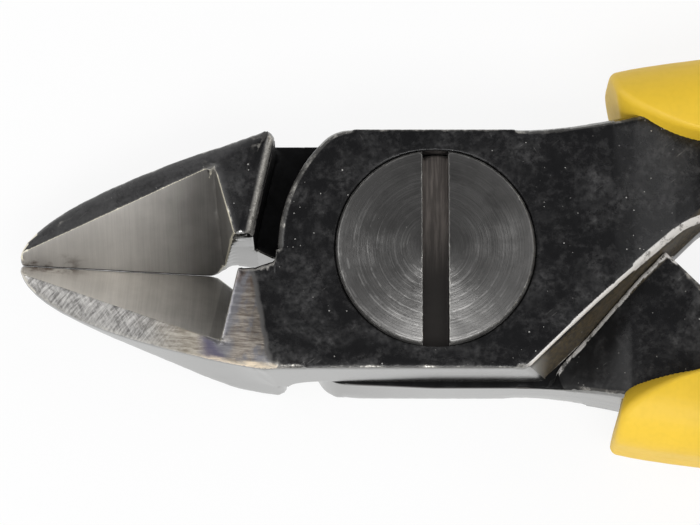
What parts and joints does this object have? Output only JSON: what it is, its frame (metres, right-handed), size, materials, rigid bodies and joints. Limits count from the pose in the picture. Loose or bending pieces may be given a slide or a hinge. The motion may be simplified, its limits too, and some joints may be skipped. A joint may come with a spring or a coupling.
{
  "type": "side cutters",
  "caption": "Slim side cutters for electronics work: lapped black steel jaws with ground bevels on a slotted pivot screw, leaf return springs and curved yellow grips.",
  "frame": {"origin": "on the pivot axis, at the back face of the joint", "axes": "+X from the pivot to the handle ends, +Y to the side of the back half's jaw, +Z from the back face to the front face with the screw head"},
  "size_m": [0.1254, 0.0436, 0.0103],
  "materials": {
    "burnished_steel": "black burnished forged steel with ground jaws",
    "turned_steel": "fine turned, dark",
    "spring_steel": "bright rolled strip",
    "grip": "satin moulded yellow"
  },
  "bodies": {
    "back_frame": {"back_half": "burnished_steel", "pivot_screw": "turned_steel", "back_grip": "grip", "back_spring": "spring_steel", "back_spring_rivet": "spring_steel"},
    "front_frame": {"front_half": "burnished_steel", "front_grip": "grip", "front_spring": "spring_steel", "front_spring_rivet": "spring_steel"}
  },
  "joints": [
    {"name": "pivot", "type": "hinge", "parent": "back_frame", "child": "front_frame", "pos_m": [0, 0, 0.005], "axis": [0, 0, 1], "range_deg": [0, 20], "stiffness_Nm_per_rad": 0.7, "springref_deg": 24.06, "deforming": ["front_spring", "back_spring"]}
  ]
}
